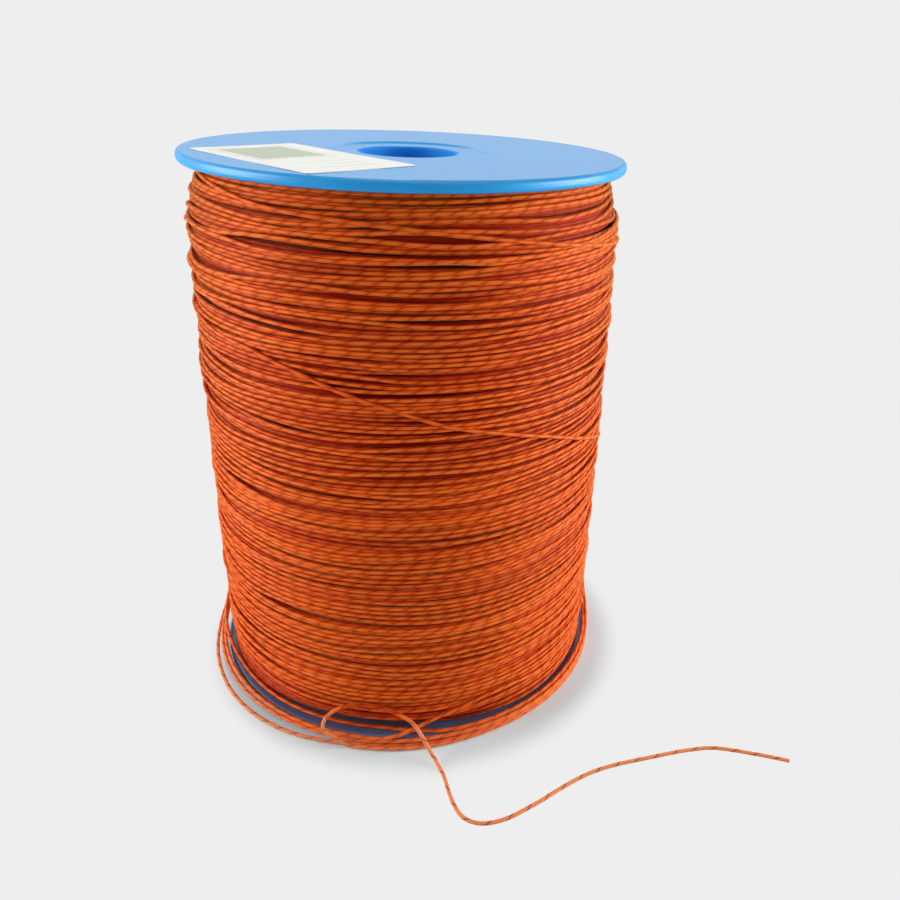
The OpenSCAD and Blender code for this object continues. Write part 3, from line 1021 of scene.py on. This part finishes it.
# %% The label's print
# Sides of the panel, across and along the label
PANEL = (5.6, 19.2, 4.2, 20.4)
RULE_OFFSET = 1.3
RULE_W = 0.35
PRINT_EDGE = 0.05
# Lines of print: how many, the first one's place past the panel, their spacing, start, lengths and thickness
LINES = 4
FIRST_LINE = 3.2
LINE_STEP = 3.4
LINE_START = 5.0
LINE_ENDS = (12.5, 17.0)
LINE_W = 0.5
PAPER = (colour(248, 249, 247), colour(253, 253, 251))
PANEL_INK = (colour(176, 192, 168), colour(190, 204, 182))
RULE_INK = colour(214, 176, 160)
LINE_INK = colour(196, 194, 190)


def make_label_finish():
    finish = Finish("printed_paper")
    back = label_place.inverted()
    flat = finish.node("ShaderNodeMapping", {"vector_type": "POINT"},
                       {"Vector": finish.place_in_metres(), "Location": back.translation,
                        "Rotation": back.to_euler()})
    x, y, _ = finish.in_mm(flat).channels()

    def inside(x_low, x_high, y_low, y_high):
        """1 within a rectangle of the print, with a soft edge of a tenth of a millimetre."""
        edge = PRINT_EDGE
        return (x.step(x_low - edge, x_low + edge) * x.step(x_high + edge, x_high - edge)
                * y.step(y_low - edge, y_low + edge) * y.step(y_high + edge, y_high - edge))

    def frame_round(offset):
        """1 within the panel made larger by an offset."""
        x_low, x_high, y_low, y_high = PANEL
        return inside(x_low - offset, x_high + offset, y_low - offset, y_high + offset)

    rule = frame_round(RULE_OFFSET) - frame_round(RULE_OFFSET - RULE_W)
    paper = finish.mix(finish.noise(finish.place(), 0.5, detail=4.0), *PAPER)
    ink = finish.mix(finish.noise(finish.place(), 2.0, detail=3.0), *PANEL_INK)
    printed = finish.mix(inside(*PANEL), paper, ink)
    printed = finish.mix(rule * 0.8, printed, RULE_INK)
    for number in range(LINES):
        start = PANEL[3] + FIRST_LINE + LINE_STEP * number
        line = inside(LINE_START, LINE_ENDS[number % 2], start, start + LINE_W)
        printed = finish.mix(line * 0.5, printed, LINE_INK)
    fibre = finish.noise(finish.place(), 6.0, detail=2.0)
    return finish.surface(Base_Color=printed, Roughness=0.55, Normal=finish.bump(fibre, 0.01))


wear(paper_label, make_label_finish())
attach(paper_label, "root")
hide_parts("label")

# %% [markdown]
# ## Floor, background and light
#
# The spool stands on a plain pale sheet that runs into a background of the same grey. The floor is a large
# disc that fades out towards its edge, so no horizon shows, and the world beyond it has the floor's colour.
# To the camera the floor shows that plain grey too, apart from a zone close to the reel where it shows the
# light that falls on it, and so the soft shadow at the spool's foot. The lit floor is slightly blue, which
# makes up for the warm light that the thread throws on it. A curved backdrop would do as well, but its grey
# would change with every light.

# %% The floor
PALE = colour(238, 238, 238)
SHADED_FLOOR = colour(219, 240, 252)
FLOOR_R = 1.6
FLOOR_SIDES = 96
FLOOR_FADE = (0.45, 1.5)
# The zone of the shadow: its middle and its edges in metres, and how far the shadow shows there
SHADOW_MIDDLE = (0.002, -0.003, 0.0)
SHADOW_EDGE = (0.0525, 0.0445)
SHADOW_SHARE = 0.9


def make_floor():
    mesh = bmesh.new()
    bmesh.ops.create_circle(mesh, cap_ends=True, segments=FLOOR_SIDES, radius=FLOOR_R)
    data = bpy.data.meshes.new("floor")
    mesh.to_mesh(data)
    mesh.free()
    return add_piece("floor", data)


def make_floor_finish():
    finish = Finish("pale_floor")
    distance = finish.node("ShaderNodeVectorMath", {"operation": "DISTANCE"},
                           {0: finish.place_in_metres(), 1: SHADOW_MIDDLE}, output="Value")
    near = distance.step(*SHADOW_EDGE)
    seen = finish.node("ShaderNodeLightPath", {}, {}, output="Is Camera Ray")
    lit = finish.node("ShaderNodeBsdfDiffuse", {}, {"Color": SHADED_FLOOR})
    plain = finish.node("ShaderNodeEmission", {}, {"Color": PALE})
    shown = finish.node("ShaderNodeMixShader", {}, {0: seen * (1 - near * SHADOW_SHARE), 1: lit, 2: plain})
    clear = finish.node("ShaderNodeBsdfTransparent", {}, {})
    faded = finish.node("ShaderNodeMixShader", {}, {0: distance.step(*FLOOR_FADE), 1: shown, 2: clear})
    finish.end("ShaderNodeOutputMaterial", faded)
    return finish.material


floor = make_floor()
wear(floor, make_floor_finish())
print(f"floor: a disc of {2 * FLOOR_R} m")

# %% The background
BACKGROUND_LIGHT = 0.155


def make_background():
    """A world that shows the pale grey to the camera and to reflections, and gives a weak light."""
    world = bpy.data.worlds.new("studio")
    world.use_nodes = True
    sky = Shading(world.node_tree)
    to_camera = sky.node("ShaderNodeLightPath", {}, {}, output="Is Camera Ray")
    to_gloss = sky.node("ShaderNodeLightPath", {}, {}, output="Is Glossy Ray")
    light = sky.node("ShaderNodeBackground", {}, {"Color": PALE, "Strength": BACKGROUND_LIGHT})
    seen = sky.node("ShaderNodeBackground", {}, {"Color": PALE})
    shown = sky.node("ShaderNodeMixShader", {}, {0: to_camera.at_least(to_gloss), 1: light, 2: seen})
    sky.end("ShaderNodeOutputWorld", shown)
    bpy.context.scene.world = world
    return world


background = make_background()
print(f"{background.name}: a light of {BACKGROUND_LIGHT}")

# %% [markdown]
# Two large soft lights at the sides brighten both edges of the winding and leave its middle deeper. They
# are slightly warm. A third one behind and above puts a pale sheen on the upper flange, and a weak one
# overhead fills in. A picture of a studio could light the spool too, but single lights can be changed one
# at a time. The view transform is Standard, so that a colour renders about as it is written.

# %% Lights
MIDDLE = (0, 0, REEL_H / 2 * MM)
WHITE = (1.0, 1.0, 1.0)
WARM = (1.0, 0.98, 0.86)
LIGHTS = {
    "left_softbox": dict(place=(-0.62, -0.06, 0.14), size=(0.45, 0.5), watts=5.35, tint=WARM),
    "right_softbox": dict(place=(0.62, -0.06, 0.14), size=(0.45, 0.5), watts=6.0, tint=WARM),
    "back_softbox": dict(place=(0.0, 0.55, 0.50), size=(0.65, 0.3), watts=1.25, tint=WHITE),
    "top_softbox": dict(place=(0.0, -0.05, 0.75), size=(0.5, 0.5), watts=1.1, tint=WHITE),
}


def make_light(name, place, size, watts, tint):
    """A soft light that points at the middle of the spool."""
    data = bpy.data.lights.new(name, "AREA")
    data.color = tint
    data.shape = "RECTANGLE"
    data.size, data.size_y = size
    data.energy = watts
    light = bpy.data.objects.new(name, data)
    direction = Vector(MIDDLE) - Vector(place)
    light.rotation_euler = direction.to_track_quat("-Z", "Y").to_euler()
    light.location = place
    bpy.context.scene.collection.objects.link(light)


for name, light in LIGHTS.items():
    make_light(name, **light)
    print(f"{name}: {light['watts']} W")
view = bpy.context.scene.view_settings
view.view_transform = "Standard"
